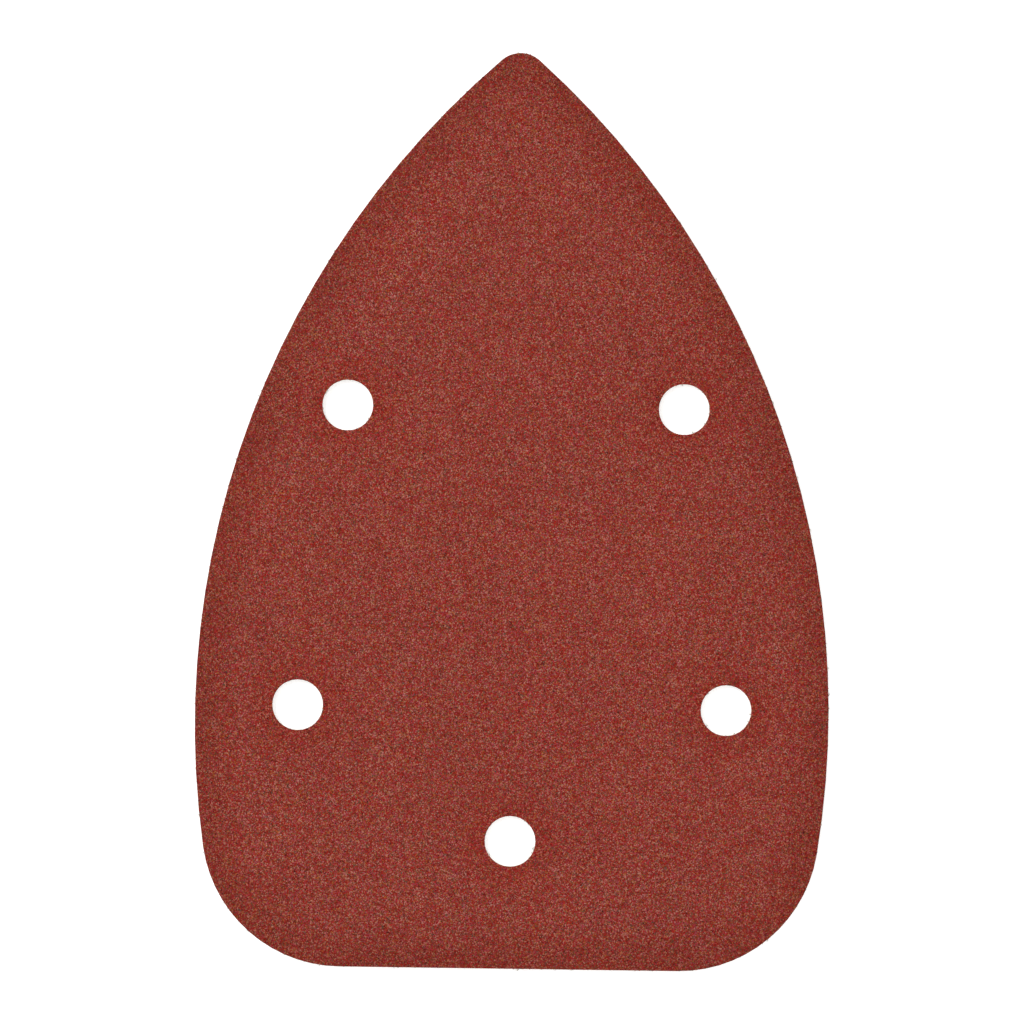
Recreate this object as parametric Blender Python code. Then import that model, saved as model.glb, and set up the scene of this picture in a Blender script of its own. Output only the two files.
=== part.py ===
"""Five-hole sanding sheet for a detail sander, as a stack of bonded layers.

Units are metres, +Z is up. The sheet lies on its loop side with the abrasive facing up.
The origin is at the middle of the sheet's length and width, on the plane that the loops rest on.
+Y points to the tip and +X to the right, seen from the abrasive side.
"""

import math

import bpy

MM = 0.001

# Outline of the die
LENGTH = 144.5 * MM
WIDTH = 100.0 * MM
WIDEST_FROM_REAR = 39.5 * MM
TIP_RADIUS = 4.5 * MM
REAR_CORNER_RADIUS = 22.0 * MM

# Dust holes, which line up with those in the sander's pad
DUST_HOLE_DIAMETER = 8.0 * MM
FRONT_HOLES_APART = 53.1 * MM
FRONT_HOLES_FROM_REAR = 88.6 * MM
MIDDLE_HOLES_APART = 67.6 * MM
MIDDLE_HOLES_FROM_REAR = 41.2 * MM
REAR_HOLE_FROM_REAR = 20.1 * MM

# Thickness of each layer
LOOP_PILE_THICKNESS = 0.55 * MM
KNIT_GROUND_THICKNESS = 0.20 * MM
LAMINATING_ADHESIVE_THICKNESS = 0.06 * MM
BACKING_PAPER_THICKNESS = 0.28 * MM
MAKE_COAT_THICKNESS = 0.06 * MM
ABRASIVE_GRAIN_THICKNESS = 0.20 * MM
SIZE_COAT_THICKNESS = 0.04 * MM
BOND_GAP = 0.02 * MM  # between bonded layers, so that each stays a solid of its own

# Straight segments that stand for a curve
SIDE_SEGMENTS = 24
CORNER_SEGMENTS = 14
TIP_SEGMENTS = 16
HOLE_SEGMENTS_PER_QUARTER = 8

# Layers from the bottom up: name, thickness, colour, roughness
LAYERS = (
    ("loop_pile", LOOP_PILE_THICKNESS, (0.80, 0.78, 0.73), 0.95),
    ("knit_ground", KNIT_GROUND_THICKNESS, (0.76, 0.74, 0.68), 0.90),
    ("laminating_adhesive", LAMINATING_ADHESIVE_THICKNESS, (0.72, 0.66, 0.50), 0.35),
    ("backing_paper", BACKING_PAPER_THICKNESS, (0.55, 0.36, 0.22), 0.85),
    ("make_coat", MAKE_COAT_THICKNESS, (0.24, 0.045, 0.030), 0.45),
    ("abrasive_grain", ABRASIVE_GRAIN_THICKNESS, (0.25, 0.050, 0.032), 0.75),
    ("size_coat", SIZE_COAT_THICKNESS, (0.26, 0.048, 0.030), 0.55),
)


def clear_scene():
    for old in list(bpy.data.objects):
        bpy.data.objects.remove(old)


def from_rear(distance):
    """The Y of something that is this far in front of the rear edge."""
    return distance - LENGTH / 2


def arc(centre, radius, start, end, segments):
    """Points on a circle from the angle start to the angle end, both included."""
    step = (end - start) / segments
    angles = [start + i * step for i in range(segments + 1)]
    return [(centre[0] + radius * math.cos(a), centre[1] + radius * math.sin(a)) for a in angles]


def right_half_outline():
    """The outline's right half, from the rear edge round to the tip.

    A corner arc leaves the straight rear edge, a long side arc passes through the widest point,
    and a small arc centred on the middle line rounds the tip. Each arc is tangent to the next.
    """
    half_width = WIDTH / 2
    widest_y = from_rear(WIDEST_FROM_REAR)
    tip_centre = (0.0, LENGTH / 2 - TIP_RADIUS)
    rise = tip_centre[1] - widest_y
    side_radius = (rise**2 + half_width**2 - TIP_RADIUS**2) / (2 * (half_width - TIP_RADIUS))
    side_centre = (half_width - side_radius, widest_y)

    corner_y = from_rear(REAR_CORNER_RADIUS)
    reach = side_radius - REAR_CORNER_RADIUS
    corner_centre = (side_centre[0] + math.sqrt(reach**2 - (corner_y - widest_y) ** 2), corner_y)

    corner_to_side = math.atan2(corner_y - widest_y, corner_centre[0] - side_centre[0])
    side_to_tip = math.atan2(rise, -side_centre[0])
    corner = arc(corner_centre, REAR_CORNER_RADIUS, -math.pi / 2, corner_to_side, CORNER_SEGMENTS)
    side = arc(side_centre, side_radius, corner_to_side, side_to_tip, SIDE_SEGMENTS)
    tip = arc(tip_centre, TIP_RADIUS, side_to_tip, math.pi / 2, TIP_SEGMENTS // 2)
    return corner + side[1:] + tip[1:]


def outline():
    """The whole outline, counter-clockwise: the right half, then its mirror image without the tip's point."""
    right = right_half_outline()
    left = [(-x, y) for x, y in reversed(right[:-1])]
    return right + left


def hole_centres():
    front_y = from_rear(FRONT_HOLES_FROM_REAR)
    middle_y = from_rear(MIDDLE_HOLES_FROM_REAR)
    pairs = [(FRONT_HOLES_APART / 2, front_y), (MIDDLE_HOLES_APART / 2, middle_y)]
    sides = [(side * x, y) for x, y in pairs for side in (-1, 1)]
    return sides + [(0.0, from_rear(REAR_HOLE_FROM_REAR))]


def add_outline_spline(curve):
    points = outline()
    spline = curve.splines.new("POLY")
    spline.points.add(len(points) - 1)
    for control, (x, y) in zip(spline.points, points):
        control.co = (x, y, 0.0, 1.0)
    spline.use_cyclic_u = True


def add_hole_spline(curve, centre):
    """A round hole, as four Bezier points with the handle length that makes a circle."""
    radius = DUST_HOLE_DIAMETER / 2
    handle = radius * 4 / 3 * math.tan(math.pi / 8)
    spline = curve.splines.new("BEZIER")
    spline.bezier_points.add(3)
    for i, point in enumerate(spline.bezier_points):
        outward = (math.cos(i * math.pi / 2), math.sin(i * math.pi / 2))
        x = centre[0] + radius * outward[0]
        y = centre[1] + radius * outward[1]
        along = (-outward[1] * handle, outward[0] * handle)
        point.handle_left_type = "FREE"
        point.handle_right_type = "FREE"
        point.co = (x, y, 0.0)
        point.handle_left = (x - along[0], y - along[1], 0.0)
        point.handle_right = (x + along[0], y + along[1], 0.0)
    spline.use_cyclic_u = True


def die_cut_curve(name, thickness):
    """The die's outline with its holes, filled and extruded to a layer's thickness about Z = 0."""
    curve = bpy.data.curves.new(name, "CURVE")
    curve.dimensions = "2D"
    curve.fill_mode = "BOTH"
    curve.resolution_u = HOLE_SEGMENTS_PER_QUARTER
    curve.extrude = thickness / 2
    add_outline_spline(curve)
    for centre in hole_centres():
        add_hole_spline(curve, centre)
    return curve


def layer_material(name, colour, roughness):
    material = bpy.data.materials.new(name)
    material.use_nodes = True
    shader = material.node_tree.nodes["Principled BSDF"]
    shader.inputs["Base Color"].default_value = (*colour, 1.0)
    shader.inputs["Roughness"].default_value = roughness
    shader.inputs["Metallic"].default_value = 0.0
    return material


def add_layer(name, thickness, bottom, colour, roughness, sheet):
    curve = die_cut_curve(name, thickness)
    curve.materials.append(layer_material(name, colour, roughness))
    layer = bpy.data.objects.new(name, curve)
    bpy.context.scene.collection.objects.link(layer)
    layer.parent = sheet
    layer.location.z = bottom + thickness / 2


def build():
    clear_scene()
    sheet = bpy.data.objects.new("sanding_sheet", None)
    bpy.context.scene.collection.objects.link(sheet)
    bottom = 0.0
    for name, thickness, colour, roughness in LAYERS:
        add_layer(name, thickness, bottom, colour, roughness, sheet)
        bottom += thickness + BOND_GAP


build()
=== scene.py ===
"""The looks of a hook-and-loop sanding sheet for a detail sander, lying loops down on a pale table.

The sheet is built as it is made: loop fabric, laminating adhesive, backing paper, make coat, grains and
size coat, all cut through by one die. Everything is in metres, with +Z out of the abrasive face.
"""

import math

import bpy
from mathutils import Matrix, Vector


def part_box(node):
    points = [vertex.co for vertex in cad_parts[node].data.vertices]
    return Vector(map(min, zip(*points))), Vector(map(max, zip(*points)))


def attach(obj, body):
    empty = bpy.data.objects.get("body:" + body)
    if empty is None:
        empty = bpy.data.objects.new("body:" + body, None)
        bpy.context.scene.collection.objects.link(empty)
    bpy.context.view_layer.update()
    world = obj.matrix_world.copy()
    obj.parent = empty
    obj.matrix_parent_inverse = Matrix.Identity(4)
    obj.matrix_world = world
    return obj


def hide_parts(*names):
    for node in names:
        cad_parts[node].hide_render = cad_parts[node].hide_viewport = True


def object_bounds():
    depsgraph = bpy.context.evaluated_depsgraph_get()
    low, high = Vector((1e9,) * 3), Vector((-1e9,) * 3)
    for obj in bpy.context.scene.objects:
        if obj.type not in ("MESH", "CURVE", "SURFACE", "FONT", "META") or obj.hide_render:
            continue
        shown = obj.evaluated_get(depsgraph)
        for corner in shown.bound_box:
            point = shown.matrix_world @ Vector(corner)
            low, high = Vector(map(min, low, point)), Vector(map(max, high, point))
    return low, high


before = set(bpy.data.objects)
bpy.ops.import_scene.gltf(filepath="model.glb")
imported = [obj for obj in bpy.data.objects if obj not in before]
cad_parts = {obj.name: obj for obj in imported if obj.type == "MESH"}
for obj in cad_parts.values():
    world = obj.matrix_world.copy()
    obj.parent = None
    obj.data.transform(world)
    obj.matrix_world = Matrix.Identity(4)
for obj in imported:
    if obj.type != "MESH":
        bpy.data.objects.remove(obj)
CAD_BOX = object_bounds()

MM = 0.001
FULL_TURN = 2 * math.pi

# Levels of the layers, from the frame
PILE_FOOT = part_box("loop_pile")[0].z
GROUND_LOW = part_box("knit_ground")[0].z
ADHESIVE_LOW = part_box("laminating_adhesive")[0].z
PAPER_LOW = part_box("backing_paper")[0].z
MAKE_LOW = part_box("make_coat")[0].z
GRAIN_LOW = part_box("abrasive_grain")[0].z
SHEET_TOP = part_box("size_coat")[1].z
SHEET_LOW, SHEET_HIGH = CAD_BOX
SHEET_MIDDLE = (SHEET_LOW + SHEET_HIGH) / 2
LENGTH = SHEET_HIGH.y - SHEET_LOW.y
WIDTH = SHEET_HIGH.x - SHEET_LOW.x

# Die
DIE_REACH = 5 * MM  # how far the die stands past both faces of the paper
TRIM = 2 * MM  # what the die cuts off round a flat layer
WELD = 0.001 * MM
UPRIGHT = 0.9  # a face counts as a top or a bottom if its normal has more of Z than this
SMOOTHEST_EDGE = math.radians(50)  # sharper edges than this stay sharp on the shaped layers

# Abrasive side
GRAIN_SPACING = 0.31 * MM
GRAIN_RADIUS = 0.135 * MM
GRAIN_SIZES = (0.7, 1.15)
GRAIN_PASSES = 6  # separate droppings of grain, so that no mesh grows too heavy
GRAIN_SHAPES = 6
GRAIN_SEED = 7
GRAIN_PROUD = 0.1 * MM  # how far a tip may stand above the frame's size coat
GRAIN_ROUGHNESS = 0.35 * GRAIN_RADIUS
STRUCK_SHAPE = 1  # the one whose corner is struck off
STRUCK_ANGLE = 1.7
STRUCK_RISE = 0.8
STRUCK_DEPTH = 0.55 * GRAIN_RADIUS
FILM_LEVEL = GRAIN_LOW + 0.08 * MM  # mean height of the size coat between the grains
FILM_STEP = 0.42 * MM
FILM_LUMPS = ((0.35 * MM, 0.10 * MM, 1), (9 * MM, 0.02 * MM, 2))  # size, height and detail of each
GRAIN_SEAT = 0.01 * MM  # grains are centred this far above the size coat's mean height
EDGE_MARGIN = 0.09 * MM  # grain centres stay this far inside the cut edge
RIM_BAND = 9.5 * MM  # the coat darkens over this band along the outline
HOLE_BAND = 7.5 * MM  # and turns redder over this one round each hole
BAND_START = -0.15  # where a band's fade begins, as a share of the band past the cut edge

# Loop side
LOOP_SPACING = 0.54 * MM
LOOP_PASSES = 4
LOOP_SHAPES = 5
LOOP_SEED = 21
LOOP_YARN = 0.055 * MM
LOOP_SIZES = (0.85, 1.1)
LOOP_LEAN = math.radians(35)
LOOP_HALF_WIDTH = 0.26 * MM  # of the narrowest shape
LOOP_WIDENING = 0.04 * MM  # from each shape to the next
LOOP_DISORDER = 0.025 * MM
LOOP_ROOT = 0.06 * MM  # how far above the knit's lowest point the loops start
LOOP_MARGIN = 0.08 * MM  # loops start this far inside the cut edge
LOOP_CLEARANCE = 0.02 * MM  # what no loop may enter under the adhesive
WALE_STEP = 0.45 * MM  # half the width of one knitted rib
WALE_DEPTH = 0.07 * MM
COURSE_STEP = 0.9 * MM
COURSE_DEPTH = 0.03 * MM

# Camera over the abrasive side
LENS = 150.0
SENSOR = 36.0
FRAME_WIDTH = 161.5 * MM
SHEET_TURN = math.radians(0.8)
FRAME_SHIFT = Vector((-0.41 * MM, -0.18 * MM, 0))
NEAREST_SEEN = 0.01
FURTHEST_SEEN = 10.0

# Stage: place, size and power of each light
FLOOR_SIDE = 3.0
KEY_LIGHT = ((-0.45, 0.35, 0.6), 0.4, 3.2)
FILL_LIGHT = ((0.5, -0.3, 0.6), 0.6, 0.5)

# Colours of the coated side
# dark resin, and painted shade in the hollows between the grains
DARK_RESIN_AND_SHADE = (0.041, 0.0050, 0.0025)
RESIN_RED = (0.243, 0.0040, 0.0013)
RESIN_BRICK = (0.160, 0.0165, 0.0050)
RESIN_BRIGHT = (0.283, 0.0080, 0.0026)
GRIT_ROSE = (0.260, 0.0360, 0.0570)
GRIT_BROWN = (0.097, 0.0335, 0.0140)
# pale grit, and painted glints: light caught on grain facets, put into the colour
PALE_GRIT_AND_GLINT = (0.352, 0.1460, 0.1180)
GRIT_ORANGE = (0.283, 0.0720, 0.0080)
GRIT_GREY = (0.056, 0.0470, 0.0350)
COAT_TONES = (
    DARK_RESIN_AND_SHADE,
    RESIN_RED,
    RESIN_BRICK,
    RESIN_BRIGHT,
    GRIT_ROSE,
    GRIT_BROWN,
    RESIN_RED,
    PALE_GRIT_AND_GLINT,
    GRIT_ORANGE,
    GRIT_GREY,
)
GRIT_CELLS = 6100.0  # chips of colour in a metre
GRAIN_SHARE = 0.60  # how much a whole grain's tone counts against the chips on it
COAT_GLOSS = 0.12
RIM_TINT = (0.84, 0.73, 0.64)  # darker along the outline
HOLE_TINT = (0.965, 0.76, 0.68)  # redder round each hole

# Colours of the other layers
PAPER_BROWN = (0.34, 0.20, 0.11)
PAPER_TAN = (0.55, 0.36, 0.22)
PAPER_LIGHT = (0.68, 0.50, 0.33)
ADHESIVE_AMBER = (0.60, 0.50, 0.32)
ADHESIVE_PALE = (0.76, 0.70, 0.54)
KNIT_SHADE = (0.52, 0.49, 0.42)
KNIT_WHITE = (0.72, 0.69, 0.62)
NYLON_DULL = (0.70, 0.68, 0.62)
NYLON_WHITE = (0.80, 0.78, 0.73)
NYLON_BRIGHT = (0.88, 0.87, 0.83)
WHITE = (1, 1, 1, 1)
NOISE_LOW, NOISE_HIGH = 0.3, 0.7  # what most of a noise's values lie between
WAVE_RADIANS = 20  # a wave texture turns this many radians in a metre at scale 1


# ---------------------------------------------------------------- modelling helpers


def deselect_all():
    bpy.ops.object.select_all(action="DESELECT")


def make_active(piece):
    deselect_all()
    piece.select_set(True)
    bpy.context.view_layer.objects.active = piece


def edit(piece, kind="FACE"):
    make_active(piece)
    bpy.ops.object.mode_set(mode="EDIT")
    bpy.ops.mesh.select_mode(type=kind)


def end_edit():
    bpy.ops.object.mode_set(mode="OBJECT")


def settle(piece):
    """Puts the piece's place into its mesh, with its origin at the frame's origin."""
    make_active(piece)
    bpy.ops.object.transform_apply(location=True, rotation=True, scale=True)


def apply_modifiers(piece):
    make_active(piece)
    for modifier in list(piece.modifiers):
        bpy.ops.object.modifier_apply(modifier=modifier.name)


def remove(piece):
    bpy.data.objects.remove(piece, do_unlink=True)


def copy_of(piece, name):
    """A copy with a mesh of its own."""
    copy = piece.copy()
    copy.data = piece.data.copy()
    copy.name = name
    bpy.context.scene.collection.objects.link(copy)
    return copy


def select_faces(piece, keep):
    """In edit mode, selects the faces for which keep(face) is true."""
    bpy.ops.mesh.select_all(action="DESELECT")
    end_edit()
    for face in piece.data.polygons:
        face.select = keep(face)
    bpy.ops.object.mode_set(mode="EDIT")


def named_box(name, low, high):
    """A box between two corners, as a start for a layer."""
    deselect_all()
    bpy.ops.mesh.primitive_cube_add(size=1, location=(low + high) / 2)
    box = bpy.context.object
    box.name = name
    box.scale = high - low
    settle(box)
    return box


def node(tree, kind, **settings):
    """Adds a node: settings whose name starts with a capital are sockets, the others properties."""
    made = tree.nodes.new(kind)
    for name, value in settings.items():
        if name[0].isupper():
            made.inputs[name.replace("_", " ")].default_value = value
        else:
            setattr(made, name, value)
    return made


# ---------------------------------------------------------------- the die


def make_die():
    """A tall cutter with the outline and the dust holes of the backing paper."""
    die = copy_of(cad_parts["backing_paper"], "die")
    die.parent = None
    for key in list(die.keys()):
        del die[key]
    edit(die, "VERT")
    bpy.ops.mesh.select_all(action="SELECT")
    bpy.ops.mesh.remove_doubles(threshold=WELD)
    bpy.ops.mesh.normals_make_consistent(inside=False)
    for upward in (1, -1):
        select_faces(die, lambda face, side=upward: face.normal.z * side > UPRIGHT)
        bpy.ops.transform.translate(value=(0, 0, upward * DIE_REACH))
    end_edit()
    return die


def die_cut(piece, die):
    """Cuts the sheet's outline and holes out of a larger layer."""
    cut = piece.modifiers.new("die_cut", "BOOLEAN")
    cut.operation = "INTERSECT"
    cut.solver = "MANIFOLD"
    cut.object = die
    apply_modifiers(piece)
    return piece


def die_cut_layer(name, low, high, die):
    """A flat layer between two heights, cut to the sheet's outline."""
    corner_low = Vector((SHEET_LOW.x - TRIM, SHEET_LOW.y - TRIM, low))
    corner_high = Vector((SHEET_HIGH.x + TRIM, SHEET_HIGH.y + TRIM, high))
    return die_cut(named_box(name, corner_low, corner_high), die)


def relief_layer(name, flat, level, step_across, step_along, die, shape):
    """A layer between a flat face at the height flat and a shaped one around level, cut to the outline."""
    margin = 2 * step_along
    across = WIDTH + 2 * margin
    along = LENGTH + 2 * margin
    deselect_all()
    bpy.ops.mesh.primitive_grid_add(
        x_subdivisions=round(across / step_across), y_subdivisions=round(along / step_along), size=1
    )
    layer = bpy.context.object
    layer.name = name
    layer.location = (SHEET_MIDDLE.x, SHEET_MIDDLE.y, level)
    layer.scale = (across, along, 1)
    settle(layer)
    shape(layer)
    apply_modifiers(layer)
    edit(layer, "EDGE")
    bpy.ops.mesh.select_all(action="DESELECT")
    bpy.ops.mesh.select_non_manifold()
    bpy.ops.mesh.extrude_edges_move(TRANSFORM_OT_translate={"value": (0, 0, flat - level)})
    bpy.ops.transform.resize(value=(1, 1, 0), center_override=(0, 0, flat))
    bpy.ops.mesh.edge_face_add()
    bpy.ops.mesh.select_all(action="SELECT")
    bpy.ops.mesh.normals_make_consistent(inside=False)
    end_edit()
    return die_cut(layer, die)


def push(piece, size, height, detail):
    """Displaces a piece's surface along Z by clouds of the given size."""
    texture = bpy.data.textures.new(f"{piece.name}_clouds", "CLOUDS")
    texture.noise_scale = size
    texture.noise_depth = detail
    relief = piece.modifiers.new("relief", "DISPLACE")
    relief.texture = texture
    relief.texture_coords = "LOCAL"
    relief.direction = "Z"
    relief.strength = height
    relief.mid_level = 0.5


def smooth_shaped_faces(piece):
    make_active(piece)
    bpy.ops.object.shade_smooth_by_angle(angle=SMOOTHEST_EDGE)


# ---------------------------------------------------------------- scattering


def scatter_tree(name, shapes, spacing, seed, part, passes, turn, sizes, reach):
    """Geometry nodes that drop the copies of one pass: every point whose number is part, modulo passes."""
    tree = bpy.data.node_groups.new(name, "GeometryNodeTree")
    tree.interface.new_socket("Ground", in_out="INPUT", socket_type="NodeSocketGeometry")
    tree.interface.new_socket("Copies", in_out="OUTPUT", socket_type="NodeSocketGeometry")
    entry = node(tree, "NodeGroupInput")
    result = node(tree, "NodeGroupOutput")

    # Points on the ground, as close together as the spacing lets them be
    spread = node(tree, "GeometryNodeDistributePointsOnFaces", distribute_method="POISSON", Seed=seed)
    spread.inputs["Distance Min"].default_value = spacing
    spread.inputs["Density Max"].default_value = 4 / spacing**2

    # Those of the other passes are left out
    number = node(tree, "GeometryNodeInputIndex")
    remainder = node(tree, "ShaderNodeMath", operation="MODULO")
    remainder.inputs[1].default_value = passes
    other = node(tree, "FunctionNodeCompare", data_type="FLOAT", operation="NOT_EQUAL", Epsilon=0.1)
    other.inputs["B"].default_value = part
    thin = node(tree, "GeometryNodeDeleteGeometry", domain="POINT")

    # A shape on each point, turned and sized at random, with a tone of its own
    library = node(tree, "GeometryNodeCollectionInfo", Collection=shapes)
    library.inputs["Separate Children"].default_value = True
    turned = node(tree, "FunctionNodeRandomValue", data_type="FLOAT_VECTOR", Seed=seed + 1)
    turned.inputs["Min"].default_value = turn[0]
    turned.inputs["Max"].default_value = turn[1]
    sized = node(tree, "FunctionNodeRandomValue", data_type="FLOAT", Seed=seed + 2)
    sized.inputs[2].default_value = sizes[0]
    sized.inputs[3].default_value = sizes[1]
    placed = node(tree, "GeometryNodeInstanceOnPoints")
    placed.inputs["Pick Instance"].default_value = True
    tone = node(tree, "FunctionNodeRandomValue", data_type="FLOAT", Seed=seed + 3)
    toned = node(tree, "GeometryNodeStoreNamedAttribute", data_type="FLOAT", domain="INSTANCE", Name="tone")
    real = node(tree, "GeometryNodeRealizeInstances")

    # No point of a copy lies below or above the reach
    place = node(tree, "GeometryNodeInputPosition")
    split = node(tree, "ShaderNodeSeparateXYZ")
    limit = node(tree, "ShaderNodeClamp", Min=reach[0], Max=reach[1])
    joined = node(tree, "ShaderNodeCombineXYZ")
    moved = node(tree, "GeometryNodeSetPosition")

    for source, target in (
        (entry.outputs["Ground"], spread.inputs["Mesh"]),
        (number.outputs["Index"], remainder.inputs[0]),
        (remainder.outputs["Value"], other.inputs["A"]),
        (spread.outputs["Points"], thin.inputs["Geometry"]),
        (other.outputs["Result"], thin.inputs["Selection"]),
        (thin.outputs["Geometry"], placed.inputs["Points"]),
        (library.outputs["Instances"], placed.inputs["Instance"]),
        (turned.outputs["Value"], placed.inputs["Rotation"]),
        (sized.outputs[1], placed.inputs["Scale"]),
        (placed.outputs["Instances"], toned.inputs["Geometry"]),
        (tone.outputs[1], toned.inputs["Value"]),
        (toned.outputs["Geometry"], real.inputs["Geometry"]),
        (real.outputs["Geometry"], moved.inputs["Geometry"]),
        (place.outputs["Position"], split.inputs["Vector"]),
        (split.outputs["X"], joined.inputs["X"]),
        (split.outputs["Y"], joined.inputs["Y"]),
        (split.outputs["Z"], limit.inputs["Value"]),
        (limit.outputs["Result"], joined.inputs["Z"]),
        (joined.outputs["Vector"], moved.inputs["Position"]),
        (moved.outputs["Geometry"], result.inputs["Copies"]),
    ):
        tree.links.new(source, target)
    return tree


def scatter(name, ground, shapes, spacing, seed, passes, turn, sizes, reach):
    """Copies of the shapes spread over a face with at least the given spacing, as one mesh for each pass.

    turn holds the lowest and highest rotation, and sizes the smallest and largest scale. Each copy has a
    random tone from 0 to 1. reach holds the lowest and highest point that any copy may have.
    """
    made = []
    for part in range(passes):
        part_name = f"{name}_{part + 1}"
        tree = scatter_tree(part_name, shapes, spacing, seed, part, passes, turn, sizes, reach)
        piece = copy_of(ground, part_name)
        piece.modifiers.new("scatter", "NODES").node_group = tree
        apply_modifiers(piece)
        made.append(piece)
    return made


def scattering_face(name, level, margin, die):
    """A flat face at the given height, a margin inside the cut outline, for things to be spread on."""
    layer = die_cut_layer(name, level - MM, level, die)
    edit(layer)
    select_faces(layer, lambda face: face.normal.z < UPRIGHT)
    bpy.ops.mesh.delete(type="FACE")
    bpy.ops.mesh.select_all(action="SELECT")
    bpy.ops.mesh.dissolve_limited(angle_limit=0.01)
    bpy.ops.mesh.inset(thickness=margin, use_boundary=True)
    bpy.ops.mesh.select_all(action="INVERT")
    bpy.ops.mesh.delete(type="FACE")
    end_edit()
    return layer


# ---------------------------------------------------------------- nearness to the cut edges


def split_walls(die):
    """The die's walls as two objects: the outline, and the dust holes."""
    walls = copy_of(die, "walls")
    edit(walls)
    select_faces(walls, lambda face: abs(face.normal.z) > UPRIGHT)
    bpy.ops.mesh.delete(type="FACE")
    bpy.ops.mesh.select_all(action="SELECT")
    bpy.ops.mesh.separate(type="LOOSE")
    end_edit()
    rings = sorted(bpy.context.selected_objects, key=lambda ring: ring.dimensions.y)
    outline = rings.pop()
    make_active(rings[0])
    for ring in rings:
        ring.select_set(True)
    bpy.ops.object.join()
    return outline, bpy.context.object


def mark_rim(piece, walls):
    """Stores how near each vertex is to the cut edges, up to 1: rim at the outline, hole_rim at the holes."""
    tree = bpy.data.node_groups.new(f"{piece.name}_rim", "GeometryNodeTree")
    tree.interface.new_socket("Mesh", in_out="INPUT", socket_type="NodeSocketGeometry")
    tree.interface.new_socket("Marked", in_out="OUTPUT", socket_type="NodeSocketGeometry")
    marked = node(tree, "NodeGroupInput").outputs["Mesh"]
    for name, wall, band in zip(("rim", "hole_rim"), walls, (RIM_BAND, HOLE_BAND)):
        source = node(tree, "GeometryNodeObjectInfo", Object=wall)
        distance = node(tree, "GeometryNodeProximity", target_element="FACES")
        fade = node(tree, "ShaderNodeMapRange", interpolation_type="SMOOTHERSTEP")
        fade.inputs["From Min"].default_value = BAND_START * band
        fade.inputs["From Max"].default_value = band
        fade.inputs["To Min"].default_value = 1.0
        fade.inputs["To Max"].default_value = 0.0
        stored = node(tree, "GeometryNodeStoreNamedAttribute", data_type="FLOAT", domain="POINT", Name=name)
        tree.links.new(source.outputs["Geometry"], distance.inputs[0])
        tree.links.new(distance.outputs["Distance"], fade.inputs["Value"])
        tree.links.new(marked, stored.inputs["Geometry"])
        tree.links.new(fade.outputs["Result"], stored.inputs["Value"])
        marked = stored.outputs["Geometry"]
    tree.links.new(marked, node(tree, "NodeGroupOutput").inputs["Marked"])
    piece.modifiers.new("rim", "NODES").node_group = tree
    apply_modifiers(piece)


# ---------------------------------------------------------------- grains and loops


def shape_library(name, shapes):
    """Keeps the shapes in a collection of their own, out of the scene."""
    library = bpy.data.collections.new(name)
    for shape in shapes:
        for owner in list(shape.users_collection):
            owner.objects.unlink(shape)
        library.objects.link(shape)
    return library


def make_grain_shape(index):
    """A crushed crystal: a blunt double pyramid, pushed out of true. One shape has a corner struck off."""
    deselect_all()
    bpy.ops.mesh.primitive_uv_sphere_add(segments=3 + index % 2, ring_count=2, radius=GRAIN_RADIUS)
    grain = bpy.context.object
    grain.name = f"grain_shape_{index + 1}"
    edit(grain, "VERT")
    bpy.ops.mesh.select_all(action="SELECT")
    stretch = 0.85 + 0.3 * math.sin(2.1 * index + 0.4)  # from blocky to splinter, in no plain order
    bpy.ops.transform.resize(value=(1.05, 0.95 / stretch, stretch))
    bpy.ops.transform.vertex_random(offset=GRAIN_ROUGHNESS, seed=11 + index)
    if index == STRUCK_SHAPE:
        struck = Vector((math.cos(STRUCK_ANGLE), math.sin(STRUCK_ANGLE), STRUCK_RISE)).normalized()
        bpy.ops.mesh.bisect(
            plane_co=struck * STRUCK_DEPTH, plane_no=struck, use_fill=True, clear_outer=True
        )
    bpy.ops.mesh.select_all(action="SELECT")
    bpy.ops.mesh.normals_make_consistent(inside=False)
    end_edit()
    return grain


def make_loop_shape(index):
    """A loop of yarn that hangs from the ground: half a ring with steep legs, pushed out of true."""
    height = GROUND_LOW - PILE_FOOT + (0.03 + 0.02 * (index % 2)) * MM
    half_width = LOOP_HALF_WIDTH + LOOP_WIDENING * index
    deselect_all()
    bpy.ops.mesh.primitive_torus_add(
        major_segments=10,
        minor_segments=3,
        major_radius=half_width,
        minor_radius=LOOP_YARN + 0.008 * MM * (index % 3),
        rotation=(math.pi / 2, 0, 0),
    )
    loop = bpy.context.object
    loop.name = f"loop_shape_{index + 1}"
    settle(loop)
    edit(loop, "VERT")
    bpy.ops.mesh.select_all(action="SELECT")
    bpy.ops.mesh.bisect(
        plane_co=(0, 0, -0.02 * half_width), plane_no=(0, 0, 1), use_fill=True, clear_outer=True
    )
    bpy.ops.transform.resize(value=(0.6, 1, 1), center_override=(0, 0, 0))
    bpy.ops.mesh.select_all(action="SELECT")
    bpy.ops.transform.resize(value=(1, 1, height / (0.95 * half_width)), center_override=(0, 0, 0))
    bpy.ops.transform.vertex_random(offset=LOOP_DISORDER, seed=5 + index)
    bpy.ops.mesh.normals_make_consistent(inside=False)
    end_edit()
    return loop


# ---------------------------------------------------------------- shader groups


def shader_group(name, inputs, outputs):
    """An empty shader group with named sockets: (name, kind, default) in, (name, kind) out."""
    tree = bpy.data.node_groups.new(name, "ShaderNodeTree")
    for socket_name, kind, default in inputs:
        socket = tree.interface.new_socket(socket_name, in_out="INPUT", socket_type=f"NodeSocket{kind}")
        socket.default_value = default
    for socket_name, kind in outputs:
        tree.interface.new_socket(socket_name, in_out="OUTPUT", socket_type=f"NodeSocket{kind}")
    return tree, node(tree, "NodeGroupInput"), node(tree, "NodeGroupOutput")


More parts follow.
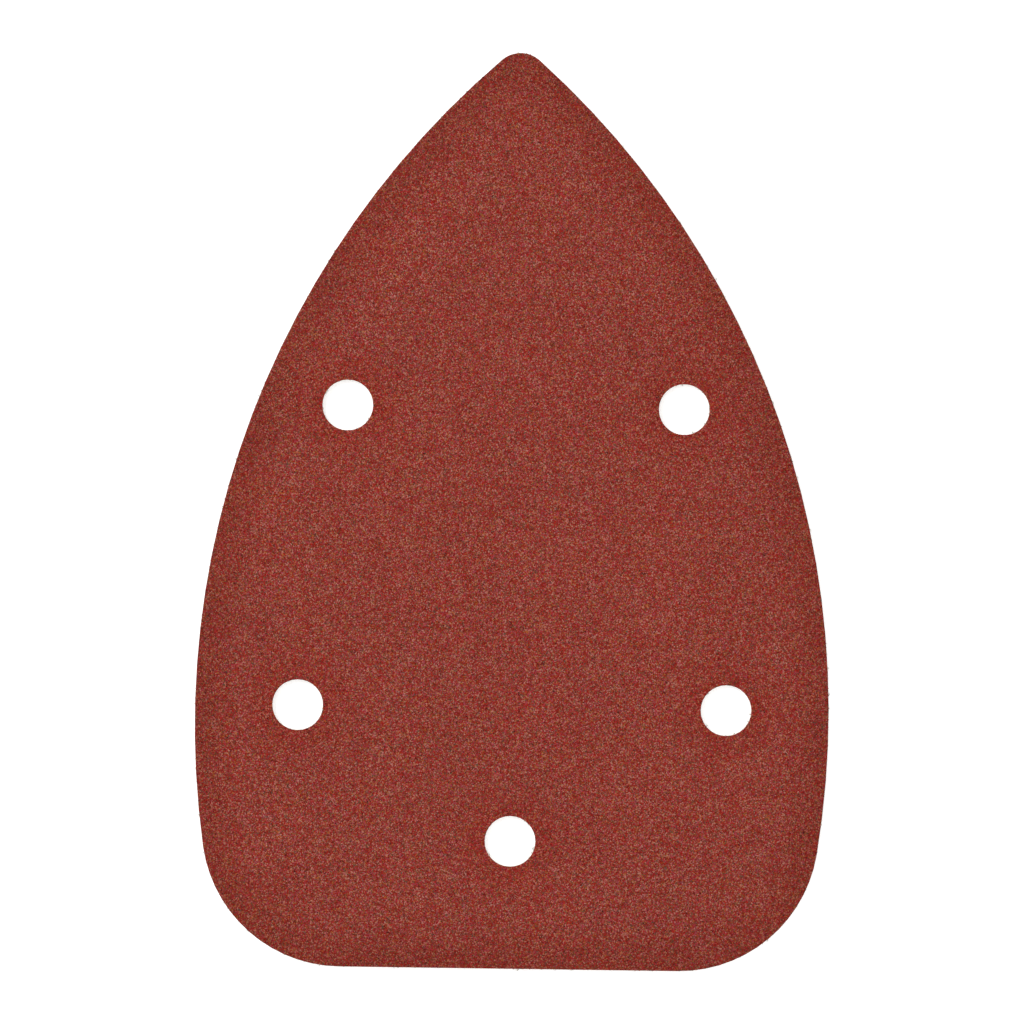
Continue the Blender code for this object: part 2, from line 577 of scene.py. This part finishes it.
def make_speckle_group():
    """Cells of one tone each, as small as grit, with a height that falls towards each cell's edge."""
    tree, entry, result = shader_group(
        "speckle",
        [("Vector", "Vector", (0, 0, 0)), ("Cells per Metre", "Float", 5000.0)],
        [("Tone", "Float"), ("Second Tone", "Float"), ("Height", "Float")],
    )
    cells = node(tree, "ShaderNodeTexVoronoi", voronoi_dimensions="3D", feature="F1")
    tones = node(tree, "ShaderNodeSeparateColor")
    height = node(tree, "ShaderNodeMath", operation="SUBTRACT")
    height.inputs[0].default_value = 1.0
    tree.links.new(entry.outputs["Vector"], cells.inputs["Vector"])
    tree.links.new(entry.outputs["Cells per Metre"], cells.inputs["Scale"])
    tree.links.new(cells.outputs["Color"], tones.inputs["Color"])
    tree.links.new(cells.outputs["Distance"], height.inputs[1])
    tree.links.new(tones.outputs["Red"], result.inputs["Tone"])
    tree.links.new(tones.outputs["Green"], result.inputs["Second Tone"])
    tree.links.new(height.outputs["Value"], result.inputs["Height"])
    return tree


def make_mottle_group():
    """Soft uneven patches, as a factor around 0.5."""
    tree, entry, result = shader_group(
        "mottle",
        [("Vector", "Vector", (0, 0, 0)), ("Patches per Metre", "Float", 100.0), ("Detail", "Float", 3.0)],
        [("Factor", "Float")],
    )
    noise = node(tree, "ShaderNodeTexNoise", Roughness=0.55)
    tree.links.new(entry.outputs["Vector"], noise.inputs["Vector"])
    tree.links.new(entry.outputs["Patches per Metre"], noise.inputs["Scale"])
    tree.links.new(entry.outputs["Detail"], noise.inputs["Detail"])
    tree.links.new(noise.outputs["Fac"], result.inputs["Factor"])
    return tree


def make_fibre_group():
    """Fine streaks that run along the sheet, as in paper and brushed yarn."""
    tree, entry, result = shader_group(
        "fibres",
        [("Vector", "Vector", (0, 0, 0)), ("Fibres per Metre", "Float", 8000.0)],
        [("Factor", "Float")],
    )
    stretched = node(tree, "ShaderNodeMapping", Scale=(0.2, 0.35, 1.0))
    noise = node(tree, "ShaderNodeTexNoise", Detail=4.0, Roughness=0.6, Distortion=0.6)
    tree.links.new(entry.outputs["Vector"], stretched.inputs["Vector"])
    tree.links.new(stretched.outputs["Vector"], noise.inputs["Vector"])
    tree.links.new(entry.outputs["Fibres per Metre"], noise.inputs["Scale"])
    tree.links.new(noise.outputs["Fac"], result.inputs["Factor"])
    return tree


class Finish:
    """A material under construction: its tree, its Principled shader and the object coordinates."""

    def __init__(self, name, **sockets):
        self.material = bpy.data.materials.new(name)
        self.material.use_nodes = True
        self.tree = self.material.node_tree
        self.shader = self.tree.nodes["Principled BSDF"]
        for socket, value in sockets.items():
            self.shader.inputs[socket.replace("_", " ")].default_value = value
        self.place = node(self.tree, "ShaderNodeTexCoord").outputs["Object"]

    def link(self, source, target):
        self.tree.links.new(source, target)

    def colour(self, source):
        self.link(source, self.shader.inputs["Base Color"])

    def roughness(self, source):
        self.link(source, self.shader.inputs["Roughness"])

    def normal(self, source):
        self.link(source, self.shader.inputs["Normal"])

    def attribute(self, name):
        return node(self.tree, "ShaderNodeAttribute", attribute_name=name).outputs["Fac"]

    def group(self, group, **sockets):
        used = node(self.tree, "ShaderNodeGroup", node_tree=group, **sockets)
        self.link(self.place, used.inputs["Vector"])
        return used

    def ramp(self, factor, stops):
        """A colour ramp, with stops as (position, (r, g, b))."""
        ramp = node(self.tree, "ShaderNodeValToRGB")
        while len(ramp.color_ramp.elements) < len(stops):
            ramp.color_ramp.elements.new(0.5)
        for element, (position, colour) in zip(ramp.color_ramp.elements, stops):
            element.position = position
            element.color = (*colour, 1.0)
        self.link(factor, ramp.inputs["Fac"])
        return ramp.outputs["Color"]

    def between(self, factor, low, high):
        """The colour from low to high that a noise's usual range picks."""
        return self.ramp(factor, [(NOISE_LOW, low), (NOISE_HIGH, high)])

    def shaded(self, colour, factor, low, high):
        """The colour made darker or lighter, from low to high times, by a noise."""
        return self.multiply(colour, self.between(factor, (low,) * 3, (high,) * 3))

    def spread(self, factor, low, high):
        """Maps a factor from 0 to 1 to the range from low to high."""
        mapped = node(self.tree, "ShaderNodeMapRange")
        mapped.inputs["To Min"].default_value = low
        mapped.inputs["To Max"].default_value = high
        self.link(factor, mapped.inputs["Value"])
        return mapped.outputs["Result"]

    def blend(self, factor, first, second, kind="MIX"):
        mix = node(self.tree, "ShaderNodeMix", data_type="RGBA", blend_type=kind)
        for value, socket in ((factor, mix.inputs[0]), (first, mix.inputs[6]), (second, mix.inputs[7])):
            if isinstance(value, bpy.types.NodeSocket):
                self.link(value, socket)
            else:
                socket.default_value = value
        return mix.outputs[2]

    def multiply(self, first, second):
        return self.blend(1.0, first, second, "MULTIPLY")

    def bump(self, height, distance, after=None):
        bump = node(self.tree, "ShaderNodeBump", Distance=distance)
        self.link(height, bump.inputs["Height"])
        if after is not None:
            self.link(after, bump.inputs["Normal"])
        return bump.outputs["Normal"]


# ---------------------------------------------------------------- materials


def coat_colour(finish, groups, grain_share):
    """The coated side's colour: red resin with rose, brown, pale and grey grit, tinted near the cut edges;
    the pale grit also paints glints on grain facets, and the darkest resin also paints shade between the
    grains.

    grain_share is how much each whole grain's tone counts against the finer chips of colour.
    """
    stops = [(place / (len(COAT_TONES) - 1), tone) for place, tone in enumerate(COAT_TONES)]
    grit = finish.group(groups["speckle"], Cells_per_Metre=GRIT_CELLS)
    colour = finish.ramp(grit.outputs["Tone"], stops)
    if grain_share > 0:
        colour = finish.blend(grain_share, colour, finish.ramp(finish.attribute("tone"), stops))
    patches = finish.group(groups["mottle"], Patches_per_Metre=60.0)
    colour = finish.shaded(colour, patches.outputs["Factor"], 0.96, 1.04)
    for edge, tint in (("rim", RIM_TINT), ("hole_rim", HOLE_TINT)):
        nearness = finish.attribute(edge)
        colour = finish.multiply(colour, finish.blend(nearness, WHITE, (*tint, 1)))
    finish.colour(colour)
    return grit


def make_coat_finish(groups):
    """The size coat between the grains: tinted resin, filled with finer grit."""
    finish = Finish("size_coat_resin", Specular_IOR_Level=COAT_GLOSS)
    grit = coat_colour(finish, groups, 0.0)
    finish.roughness(finish.spread(grit.outputs["Second Tone"], 0.45, 0.8))
    finish.normal(finish.bump(grit.outputs["Height"], 0.06 * MM))
    return finish.material


def make_grain_finish(groups):
    """Grains under the size coat: each has its own tone, and finer chips of colour on its faces."""
    finish = Finish("coated_grain", Specular_IOR_Level=COAT_GLOSS)
    grit = coat_colour(finish, groups, GRAIN_SHARE)
    finish.roughness(finish.spread(grit.outputs["Second Tone"], 0.3, 0.7))
    finish.normal(finish.bump(grit.outputs["Height"], 0.02 * MM))
    return finish.material


def make_make_coat_finish(groups):
    """The cured make coat, seen at the cut edges as a dark red line."""
    finish = Finish("make_coat_resin")
    patches = finish.group(groups["mottle"], Patches_per_Metre=2500.0).outputs["Factor"]
    finish.colour(finish.between(patches, DARK_RESIN_AND_SHADE, RESIN_RED))
    finish.roughness(finish.spread(patches, 0.3, 0.6))
    finish.normal(finish.bump(patches, 0.03 * MM))
    return finish.material


def make_paper_finish(groups):
    """Latex-saturated paper: warm brown, fibrous where it is cut."""
    finish = Finish("backing_paper")
    fibres = finish.group(groups["fibres"], Fibres_per_Metre=9000.0).outputs["Factor"]
    patches = finish.group(groups["mottle"], Patches_per_Metre=500.0).outputs["Factor"]
    strands = finish.ramp(fibres, [(0.3, PAPER_BROWN), (0.55, PAPER_TAN), (0.75, PAPER_LIGHT)])
    finish.colour(finish.shaded(strands, patches, 0.88, 1.05))
    finish.roughness(finish.spread(fibres, 0.75, 0.95))
    finish.normal(finish.bump(fibres, 0.04 * MM))
    return finish.material


def make_adhesive_finish(groups):
    """The laminating adhesive: an amber film that shows as a thin shiny line."""
    finish = Finish("laminating_adhesive", Specular_IOR_Level=0.5)
    patches = finish.group(groups["mottle"], Patches_per_Metre=1200.0).outputs["Factor"]
    finish.colour(finish.between(patches, ADHESIVE_AMBER, ADHESIVE_PALE))
    finish.roughness(finish.spread(patches, 0.2, 0.45))
    finish.normal(finish.bump(patches, 0.02 * MM))
    return finish.material


def make_knit_finish(groups):
    """The knitted ground: natural white yarn, with stitches in rows and shadows between the ribs."""
    finish = Finish("knit_ground", Sheen_Weight=0.25, Sheen_Roughness=0.5)
    rows = []
    for direction, period in (("X", 2 * WALE_STEP), ("Y", COURSE_STEP / 2)):
        row = node(finish.tree, "ShaderNodeTexWave", bands_direction=direction, Detail=1.0, Distortion=0.8)
        row.inputs["Scale"].default_value = FULL_TURN / (WAVE_RADIANS * period)
        finish.link(finish.place, row.inputs["Vector"])
        rows.append(row.outputs["Fac"])
    crossed = node(finish.tree, "ShaderNodeMath", operation="MULTIPLY")
    finish.link(rows[0], crossed.inputs[0])
    finish.link(finish.spread(rows[1], 0.5, 1.0), crossed.inputs[1])
    stitches = crossed.outputs["Value"]
    fibres = finish.group(groups["fibres"], Fibres_per_Metre=12000.0).outputs["Factor"]
    shade = finish.ramp(stitches, [(0.0, (0.72,) * 3), (0.8, (1.05,) * 3)])
    finish.colour(finish.multiply(finish.between(fibres, KNIT_SHADE, KNIT_WHITE), shade))
    finish.roughness(finish.spread(fibres, 0.7, 0.95))
    finish.normal(finish.bump(fibres, 0.02 * MM, after=finish.bump(stitches, 0.08 * MM)))
    return finish.material


def make_loop_finish(groups):
    """Brushed nylon loops: white, a little shiny, each a shade apart."""
    finish = Finish("nylon_loops", Sheen_Weight=0.3, Sheen_Roughness=0.4, Specular_IOR_Level=0.6)
    tone = finish.attribute("tone")
    fibres = finish.group(groups["fibres"], Fibres_per_Metre=30000.0).outputs["Factor"]
    yarn = finish.ramp(tone, [(0.0, NYLON_DULL), (0.5, NYLON_WHITE), (1.0, NYLON_BRIGHT)])
    finish.colour(finish.shaded(yarn, fibres, 0.85, 1.04))
    finish.roughness(finish.spread(tone, 0.4, 0.6))
    finish.normal(finish.bump(fibres, 0.01 * MM))
    return finish.material


# ---------------------------------------------------------------- pieces


def finish_piece(piece, material, node_name):
    """Gives a piece its material and its body, and hides the CAD node that it stands for."""
    piece.data.materials.clear()
    piece.data.materials.append(material)
    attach(piece, "root")
    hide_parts(node_name)


def name_bake_map(piece):
    """A UV map seen from above, so that each small copy keeps a place of its own in a baked picture."""
    mesh = piece.data
    layer = mesh.uv_layers.new(name="OFBake")
    side = max(LENGTH, WIDTH) * 1.02
    for corner in mesh.loops:
        place = mesh.vertices[corner.vertex_index].co
        layer.uv[corner.index].vector = (
            0.5 + (place.x - SHEET_MIDDLE.x) / side,
            0.5 + (place.y - SHEET_MIDDLE.y) / side,
        )


def make_size_coat(die, walls, groups):
    def lumps(layer):
        for size, height, detail in FILM_LUMPS:
            push(layer, size, height, detail)

    coat = relief_layer("size_coat_film", GRAIN_LOW, FILM_LEVEL, FILM_STEP, FILM_STEP, die, lumps)
    smooth_shaped_faces(coat)
    mark_rim(coat, walls)
    finish_piece(coat, make_coat_finish(groups), "size_coat")


def make_grains(die, walls, groups):
    shapes = shape_library("grain_shapes", [make_grain_shape(i) for i in range(GRAIN_SHAPES)])
    ground = scattering_face("grain_ground", FILM_LEVEL + GRAIN_SEAT, EDGE_MARGIN, die)
    turn = ((0, 0, 0), (FULL_TURN, FULL_TURN, FULL_TURN))
    reach = (GRAIN_LOW, SHEET_TOP + GRAIN_PROUD)
    material = make_grain_finish(groups)
    for grains in scatter(
        "abrasive_grains", ground, shapes, GRAIN_SPACING, GRAIN_SEED, GRAIN_PASSES, turn, GRAIN_SIZES, reach
    ):
        mark_rim(grains, walls)
        finish_piece(grains, material, "abrasive_grain")
        name_bake_map(grains)
    remove(ground)


def make_loops(die, groups):
    shapes = shape_library("loop_shapes", [make_loop_shape(i) for i in range(LOOP_SHAPES)])
    ground = scattering_face("loop_ground", GROUND_LOW + LOOP_ROOT, LOOP_MARGIN, die)
    turn = ((-LOOP_LEAN, -LOOP_LEAN, 0), (LOOP_LEAN, LOOP_LEAN, FULL_TURN))
    reach = (PILE_FOOT, ADHESIVE_LOW - LOOP_CLEARANCE)
    material = make_loop_finish(groups)
    loops = scatter(
        "pile_loops", ground, shapes, LOOP_SPACING, LOOP_SEED, LOOP_PASSES, turn, LOOP_SIZES, reach
    )
    for part in loops:
        make_active(part)
        bpy.ops.object.shade_smooth()
        finish_piece(part, material, "loop_pile")
        name_bake_map(part)
    remove(ground)
    return loops


def make_flat_layers(die, groups):
    """The layers between the knit and the grains, each reaching up to the next one."""
    for name, low, high, material, node_name in (
        ("fused_make_coat", MAKE_LOW, GRAIN_LOW, make_make_coat_finish(groups), "make_coat"),
        ("paper_backing", PAPER_LOW, MAKE_LOW, make_paper_finish(groups), "backing_paper"),
        ("adhesive_film", ADHESIVE_LOW, PAPER_LOW, make_adhesive_finish(groups), "laminating_adhesive"),
    ):
        finish_piece(die_cut_layer(name, low, high, die), material, node_name)


def make_knit_ground(die, groups):
    """The knitted ground, with ribs along the sheet and shallower courses across it."""

    def ribs(layer):
        for axis, step, depth in (("x", WALE_STEP, WALE_DEPTH), ("y", COURSE_STEP, COURSE_DEPTH)):
            low = min(getattr(point.co, axis) for point in layer.data.vertices)
            edit(layer, "VERT")
            bpy.ops.mesh.select_all(action="DESELECT")
            end_edit()
            for point in layer.data.vertices:
                point.select = round((getattr(point.co, axis) - low) / step) % 2 == 0
            bpy.ops.object.mode_set(mode="EDIT")
            bpy.ops.transform.translate(value=(0, 0, -depth))
            end_edit()

    level = GROUND_LOW + WALE_DEPTH + COURSE_DEPTH
    knit = relief_layer("knitted_ground", ADHESIVE_LOW, level, WALE_STEP, COURSE_STEP, die, ribs)
    smooth_shaped_faces(knit)
    finish_piece(knit, make_knit_finish(groups), "knit_ground")


# ---------------------------------------------------------------- stage


def add_floor(groups):
    deselect_all()
    bpy.ops.mesh.primitive_plane_add(size=FLOOR_SIDE, location=(0, 0, PILE_FOOT))
    floor = bpy.context.object
    floor.name = "pale_floor"
    settle(floor)
    finish = Finish("pale_table", Roughness=0.8, Emission_Color=WHITE, Emission_Strength=0.3)
    patches = finish.group(groups["mottle"], Patches_per_Metre=8.0).outputs["Factor"]
    finish.colour(finish.between(patches, (0.86,) * 3, (0.88,) * 3))
    floor.data.materials.append(finish.material)


def add_area_light(name, place, size, power):
    deselect_all()
    bpy.ops.object.light_add(type="AREA", location=place)
    light = bpy.context.object
    light.name = name
    light.data.size = size
    light.data.energy = power
    toward = Vector(place) - SHEET_MIDDLE
    light.rotation_euler = toward.to_track_quat("Z", "Y").to_euler()


def add_lights():
    world = bpy.data.worlds.new("studio")
    world.use_nodes = True
    background = world.node_tree.nodes["Background"]
    background.inputs["Color"].default_value = WHITE
    background.inputs["Strength"].default_value = 1.0
    bpy.context.scene.world = world
    add_area_light("key_softbox", *KEY_LIGHT)
    add_area_light("fill_softbox", *FILL_LIGHT)


def add_camera():
    """Straight above the sheet, turned so that the sheet stands a little clockwise."""
    deselect_all()
    bpy.ops.object.camera_add(rotation=(0, 0, SHEET_TURN))
    camera = bpy.context.object
    camera.data.lens = LENS
    camera.data.sensor_width = SENSOR
    aim = Vector((SHEET_MIDDLE.x, SHEET_MIDDLE.y, SHEET_TOP)) + FRAME_SHIFT
    camera.location = aim + Vector((0, 0, FRAME_WIDTH * LENS / SENSOR))
    camera.data.clip_start = NEAREST_SEEN
    camera.data.clip_end = FURTHEST_SEEN
    bpy.context.scene.camera = camera


def build():
    bpy.context.scene.view_settings.view_transform = "Standard"
    add_camera()
    groups = {"speckle": make_speckle_group(), "mottle": make_mottle_group(), "fibres": make_fibre_group()}
    die = make_die()
    walls = split_walls(die)
    make_flat_layers(die, groups)
    loops = make_loops(die, groups)
    make_knit_ground(die, groups)
    make_size_coat(die, walls, groups)
    make_grains(die, walls, groups)
    for helper in (die, *walls):
        remove(helper)
    add_floor(groups)
    add_lights()


build()
